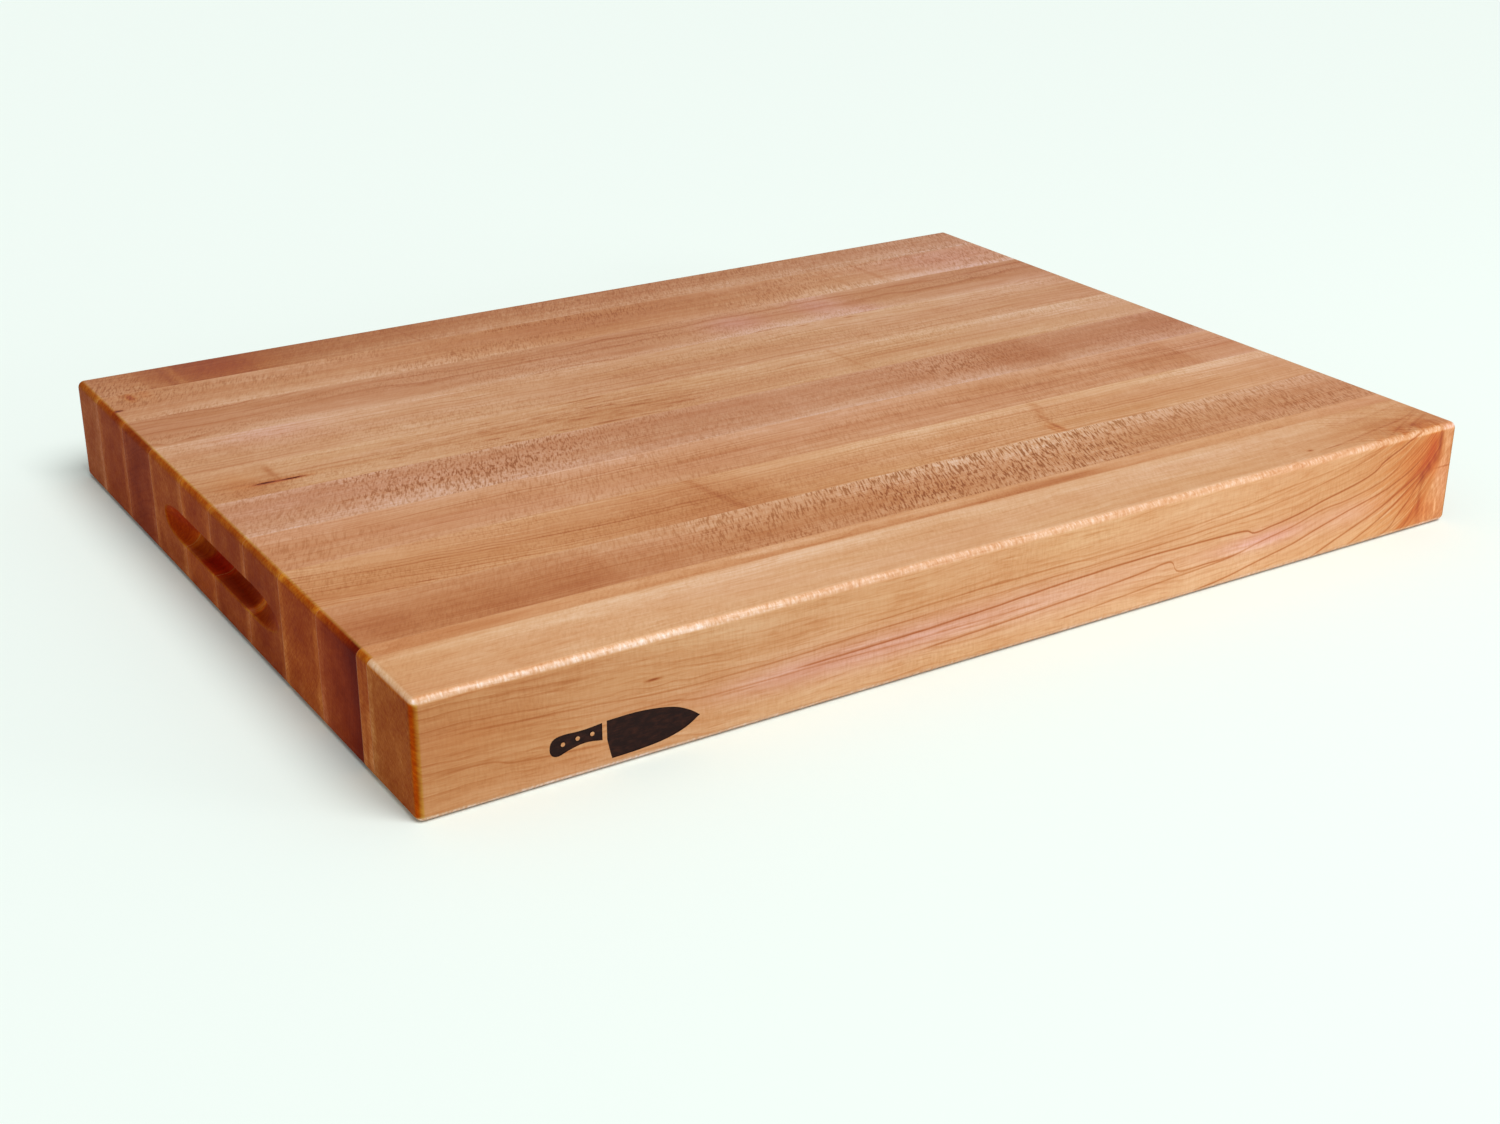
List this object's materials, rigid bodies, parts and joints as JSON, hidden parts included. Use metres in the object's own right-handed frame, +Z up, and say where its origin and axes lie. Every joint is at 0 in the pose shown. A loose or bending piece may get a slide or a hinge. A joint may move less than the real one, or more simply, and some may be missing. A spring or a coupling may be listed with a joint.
{
  "type": "cutting board",
  "caption": "Thick reversible butcher-block cutting board: full-length hardwood staves glued edge to edge, rounded edges, and a recessed finger grip in each end.",
  "frame": {"origin": "centre of the underside, on the plane the board rests on", "axes": "+X along the staves and their grain, -Y towards the front long side, +Z up through the top cutting face"},
  "size_m": [0.6096, 0.4572, 0.0571],
  "materials": {
    "maple_light": "oiled and waxed satin, light tan with fine growth rings",
    "maple_golden": "oiled and waxed satin, golden with fine growth rings",
    "maple_pink": "oiled and waxed satin, pinkish brown with ray fleck",
    "maple_reddish": "oiled and waxed satin, reddish brown with wavy figure",
    "maple_brown": "oiled and waxed satin, brown heartwood with ray fleck",
    "cured_glue": "clear amber cured wood adhesive, sanded flush"
  },
  "bodies": {
    "root": {"front_stave": "maple_light", "filler_strip": "maple_light", "stave_03": "maple_brown", "stave_04": "maple_golden", "stave_05": "maple_reddish", "stave_06": "maple_pink", "stave_07": "maple_golden", "stave_08": "maple_light", "stave_09": "maple_brown", "stave_10": "maple_reddish", "back_stave": "maple_brown", "glue_line_01": "cured_glue", "glue_line_02": "cured_glue", "glue_line_03": "cured_glue", "glue_line_04": "cured_glue", "glue_line_05": "cured_glue", "glue_line_06": "cured_glue", "glue_line_07": "cured_glue", "glue_line_08": "cured_glue", "glue_line_09": "cured_glue", "glue_line_10": "cured_glue"}
  },
  "joints": []
}
